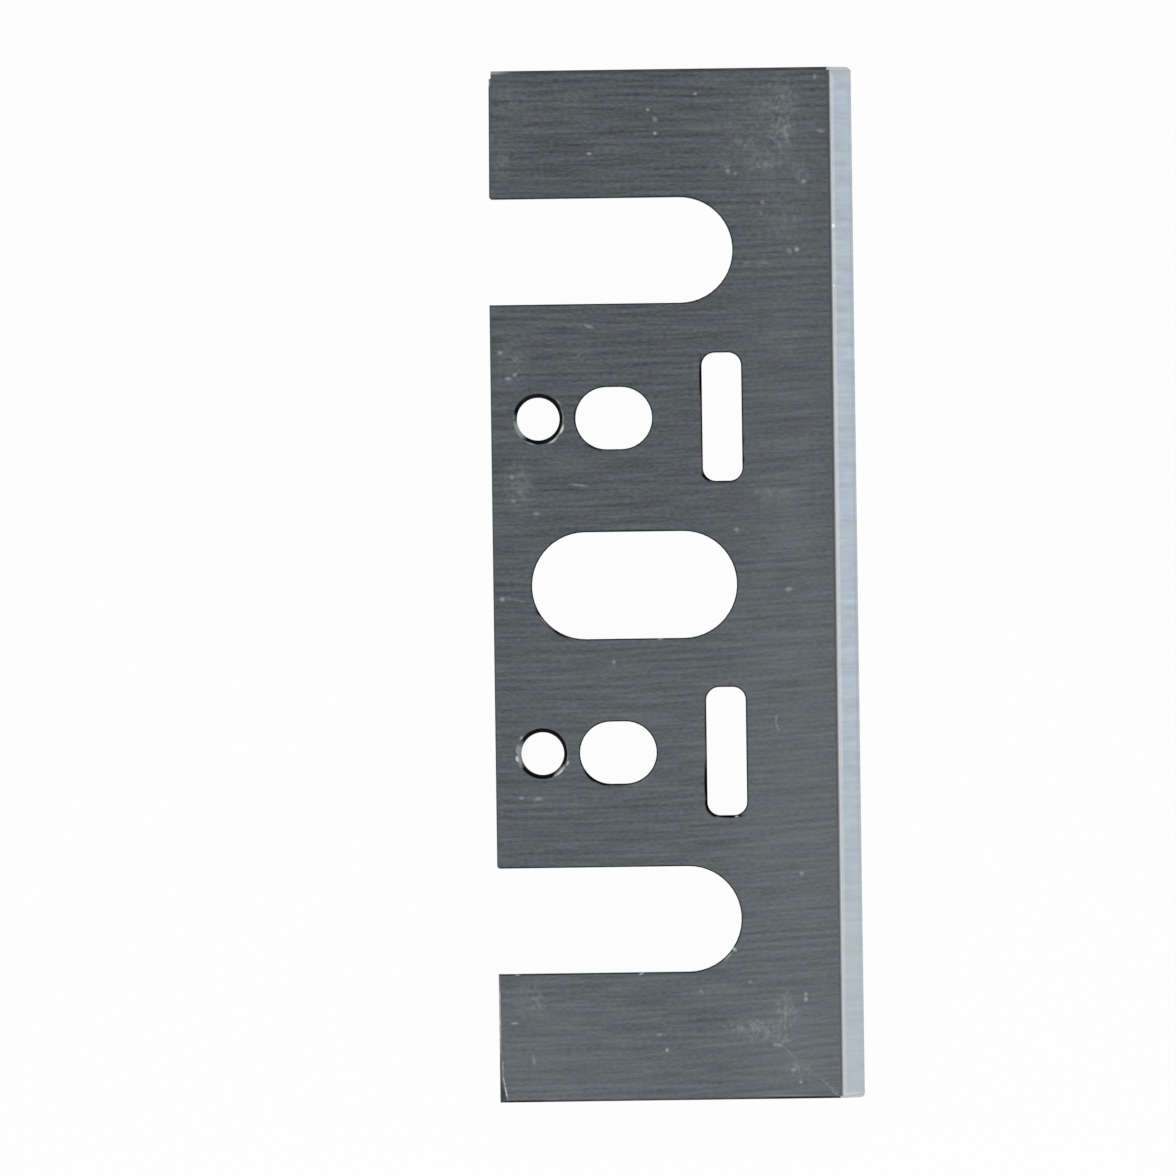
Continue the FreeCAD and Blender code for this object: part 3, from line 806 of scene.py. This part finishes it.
@dataclass
class Knife:
    """The one piece of the object: a merged copy of the CAD solid, with a finish on each surface.

    Attributes:
        node: the CAD node that it stands for
        half_length: from the middle to either end
        half_width: from the middle to the rear edge
        screw_reach: how far a countersink reaches from its hole's centre
        ridge_start: where the rounded ridge starts across the knife
        bevel_tilt: the bevel's normal from straight up, in degrees
        end_land: how far the chamfer of an end reaches from the end
        rear_land: how far the filed edge reaches from the rear, worn back or not
        worn_from: how far from the middle the wear of the rear corners starts
        worn_tilt: the least tilt of the worn corner's facets, in degrees
        upright: the tilt below which a facet isn't part of a wall, in degrees
        level: how far a facet may be off level, upright or the bevel's tilt, in degrees
        crosswise: how far the normal of a facet that runs along the knife may lean lengthwise
        at_end: how far from an end's plane a facet may be and still lie in it
        smooth_turn: the widest turn between two facets of one round surface, in degrees
    """

    node: str = "knife"
    half_length: float = 41.0
    half_width: float = 14.5
    screw_reach: float = 2.1
    ridge_start: float = 12.5
    bevel_tilt: float = 60.0
    end_land: float = 0.26
    rear_land: float = 0.3
    worn_from: float = 38.5
    worn_tilt: float = 50.0
    upright: float = 89.0
    level: float = 1.0
    crosswise: float = 0.01
    at_end: float = 0.01
    smooth_turn: float = 14.0

    def build(self) -> bpy.types.Object:
        """Copies the node's mesh, merges it and dresses it.

        Returns:
            the piece, riding on the root body in place of the node
        """
        shape = bmesh.new()
        shape.from_mesh(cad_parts[self.node].data)
        bmesh.ops.remove_doubles(shape, verts=shape.verts, dist=MERGE_REACH * MM)
        order = list(FINISHES)
        for face in shape.faces:
            face.smooth = True
            face.material_index = order.index(self.surface_of(face))
        for edge in shape.edges:
            edge.smooth = self.is_smooth(edge)
        mesh = bpy.data.meshes.new("ground_knife")
        shape.to_mesh(mesh)
        shape.free()
        if "custom_normal" in mesh.attributes:
            mesh.attributes.remove(mesh.attributes["custom_normal"])
        for finish in FINISHES.values():
            mesh.materials.append(finish.make())
        piece = bpy.data.objects.new("ground_knife", mesh)
        bpy.context.scene.collection.objects.link(piece)
        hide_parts(self.node)
        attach(piece, "root")
        return piece

    def surface_of(self, face: bmesh.types.BMFace) -> Surface:
        """Says which surface a face belongs to, from where it lies and how it points.

        Args:
            face: a face of the merged mesh
        Returns:
            its surface
        """
        normal = face.normal
        centre = face.calc_center_median() / MM
        tilt = math.degrees(normal.angle(Vector((0, 0, 1))))
        off_end = self.half_length - abs(centre.y)
        if tilt < self.level:
            return Surface.FACE
        if tilt > 180 - self.level:
            return Surface.BACK
        if tilt > self.upright:
            if abs(tilt - 90) > self.level:
                return Surface.RIM
            off_side = self.half_width - abs(centre.x)
            outside = off_side < self.rear_land or off_end < self.at_end
            return Surface.OUTER_WALL if outside else Surface.CUT_WALL
        if centre.x < 0 and centre.y < -self.worn_from and tilt > self.worn_tilt:
            return Surface.OUTER_BREAK if off_end < self.end_land else Surface.WEAR
        if centre.x > self.ridge_start and off_end < self.end_land:
            return Surface.BEVEL_END
        if centre.x > self.ridge_start and abs(normal.y) < self.crosswise:
            on_bevel = abs(tilt - self.bevel_tilt) < self.level
            return Surface.BEVEL if on_bevel else Surface.RIDGE
        off_rear = self.half_width + centre.x
        if off_end < self.end_land or off_rear < self.rear_land:
            return Surface.OUTER_BREAK
        screw = Vector((SCREW_X, math.copysign(SCREW_Y, centre.y)))
        if (centre.to_2d() - screw).length < self.screw_reach:
            return Surface.COUNTERSINK
        return Surface.RIM

    def is_smooth(self, edge: bmesh.types.BMEdge) -> bool:
        """Says if the shading runs on over an edge, as it does within one round surface.

        Args:
            edge: an edge between two faces
        Returns:
            whether the edge is smooth
        """
        one, other = edge.link_faces
        same_surface = one.material_index == other.material_index
        return same_surface and math.degrees(edge.calc_face_angle()) < self.smooth_turn


@dataclass
class Studio:
    """White table, soft light and a camera straight above.

    Attributes:
        view_x: the point under the camera, across the knife
        view_y: the same along the knife
        view_turn: how far the camera is turned about the vertical, in degrees
        view_width: the width of the table that the picture shows, at the knife's face
        face_height: how high that face lies
        table_reach: from the knife to the table's sides, in metres
        table_gap: how far below the knife the table lies, so that their faces don't mix, in metres
        white_share: how far table and horizon show plain white, not their own shade
        horizon: the heights between which the white of the horizon fades, as shares of the zenith's
        lens: long, because the photograph shows no perspective
        sensor: Blender's sensor width, which goes with the lens
        sight: how far the camera sees, in metres
        room_levels: three heights, as shares of the zenith's, and how bright the room is at each
        dim_side: the way to the room's dim side, beyond the far end and the cutting edge
        dim_from: how far that way it starts to dim
        dim_full: how far that way it is at its dimmest
        dim_level: what is left of the light there
        lamp_place: where the lamp stands, in metres
        lamp_size: the sides of the lamp, in metres
        lamp_power: in watts
    """

    view_x: float = -6.975
    view_y: float = -0.18
    view_turn: float = -0.7976
    view_width: float = 93.497
    face_height: float = 3.0
    table_reach: float = 3.0
    table_gap: float = 0.00002
    white_share: float = 0.965
    horizon: tuple[float, float] = (0.05, 0.1)
    lens: float = 1000.0
    sensor: float = 36.0
    sight: float = 20.0
    room_levels: tuple[tuple[float, float], ...] = ((0.0, 0.6), (0.4, 0.85), (0.9, 0.485))
    dim_side: tuple[float, float, float] = (0.75, 0.66, 0.0)
    dim_from: float = 0.05
    dim_full: float = 0.6
    dim_level: float = 0.6
    lamp_place: tuple[float, float, float] = (0.05, -0.24, 0.38)
    lamp_size: float = 0.2
    lamp_power: float = 0.5

    def build(self) -> None:
        """Sets up camera, table, surroundings and lamp."""
        self.add_camera()
        self.add_table()
        self.light_surroundings()
        self.add_lamp()
        bpy.context.scene.view_settings.view_transform = "Standard"

    def add_camera(self) -> None:
        """Puts the camera straight above, at the photograph's scale and turn."""
        data = bpy.data.cameras.new("camera")
        data.lens = self.lens
        data.sensor_width = self.sensor
        data.clip_end = self.sight
        camera = bpy.data.objects.new("camera", data)
        height = self.face_height + self.view_width * self.lens / self.sensor
        camera.location = Vector((self.view_x, self.view_y, height)) * MM
        camera.rotation_euler = (0, 0, math.radians(self.view_turn))
        bpy.context.scene.collection.objects.link(camera)
        bpy.context.scene.camera = camera

    def add_table(self) -> None:
        """Lays the white table that the knife lies on."""
        shape = bmesh.new()
        bmesh.ops.create_grid(shape, x_segments=1, y_segments=1, size=self.table_reach)
        mesh = bpy.data.meshes.new("table")
        shape.to_mesh(mesh)
        shape.free()
        material = bpy.data.materials.new("white_table")
        material.use_nodes = True
        tree = material.node_tree
        tree.nodes.clear()
        share = self.share_of_white(tree)
        matt = add_node(tree, "BsdfDiffuse", {"Color": srgb("#f4f4f4")})
        glow = add_node(tree, "Emission", {"Color": srgb("#ffffff"), "Strength": 1.0})
        mixed = {0: share, 1: matt.outputs[0], 2: glow.outputs[0]}
        surface = add_node(tree, "MixShader", mixed)
        add_node(tree, "OutputMaterial", {"Surface": surface.outputs[0]})
        mesh.materials.append(material)
        table = bpy.data.objects.new("table", mesh)
        table.location.z = -self.table_gap
        bpy.context.scene.collection.objects.link(table)

    def share_of_white(self, tree: bpy.types.NodeTree) -> bpy.types.NodeSocket:
        """Says how far something shows plain white to a ray.

        Args:
            tree: the nodes of the material or the world
        Returns:
            the share for the camera, metal and glass, and 0 for all other rays
        """
        ray = add_node(tree, "LightPath").outputs
        seen = {0: ray["Is Camera Ray"], 1: ray["Is Glossy Ray"]}
        seen = add_node(tree, "Math", seen, operation="MAXIMUM").outputs[0]
        seen = {0: seen, 1: ray["Is Transmission Ray"]}
        seen = add_node(tree, "Math", seen, operation="MAXIMUM").outputs[0]
        share = {0: seen, 1: self.white_share}
        return add_node(tree, "Math", share, operation="MULTIPLY").outputs[0]

    def light_surroundings(self) -> None:
        """Lights a plain room: grey overhead, pale on the rear and near sides, dimmer beyond.

        Its horizon shows the same white as the table to the camera, metal and glass.
        """
        world = bpy.data.worlds.new("room")
        world.use_nodes = True
        tree = world.node_tree
        tree.nodes.clear()
        direction = add_node(tree, "TexCoord").outputs["Generated"]
        height = add_node(tree, "SeparateXYZ", {0: direction}).outputs["Z"]
        ramp = add_node(tree, "ValToRGB", {"Fac": height})
        levels = ramp.color_ramp.elements
        levels.new(self.room_levels[1][0])
        for level, (up, grey) in zip(levels, self.room_levels):
            level.position = up
            level.color = (grey, grey, grey, 1)
        sideways = {0: direction, 1: self.dim_side}
        sideways = add_node(tree, "VectorMath", sideways, operation="DOT_PRODUCT").outputs["Value"]
        fade = {
            "Value": sideways,
            "From Min": self.dim_from,
            "From Max": self.dim_full,
            "To Min": 1.0,
            "To Max": self.dim_level,
        }
        fade = add_node(tree, "MapRange", fade, interpolation_type="SMOOTHSTEP").outputs[0]
        dimmed = {"Factor": 1.0, 6: ramp.outputs[0], 7: fade}
        room = add_node(tree, "Mix", dimmed, data_type="RGBA", blend_type="MULTIPLY").outputs[2]
        low, high = self.horizon
        band = {"Value": height, "From Min": low, "From Max": high, "To Min": 1.0, "To Max": 0.0}
        band = add_node(tree, "MapRange", band).outputs[0]
        share = {0: band, 1: self.share_of_white(tree)}
        share = add_node(tree, "Math", share, operation="MULTIPLY").outputs[0]
        shown = {"Factor": share, 6: room, 7: (1, 1, 1, 1)}
        colour = add_node(tree, "Mix", shown, data_type="RGBA").outputs[2]
        light = add_node(tree, "Background", {"Color": colour, "Strength": 1.0})
        add_node(tree, "OutputWorld", {"Surface": light.outputs[0]})
        bpy.context.scene.world = world

    def add_lamp(self) -> None:
        """Adds the large lamp on the near side, which makes that end a little lighter."""
        data = bpy.data.lights.new("near_lamp", "AREA")
        data.shape = "SQUARE"
        data.size = self.lamp_size
        data.energy = self.lamp_power
        lamp = bpy.data.objects.new("near_lamp", data)
        lamp.location = self.lamp_place
        lamp.rotation_euler = (-Vector(self.lamp_place)).to_track_quat("-Z", "Y").to_euler()
        lamp.visible_camera = False
        bpy.context.scene.collection.objects.link(lamp)


def main() -> None:
    """Builds the studio and the knife."""
    logging.basicConfig(level=logging.INFO, format="%(message)s")
    Studio().build()
    piece = Knife().build()
    LOG.info("%s: %d faces", piece.name, len(piece.data.polygons))


if __name__ == "__main__":
    main()
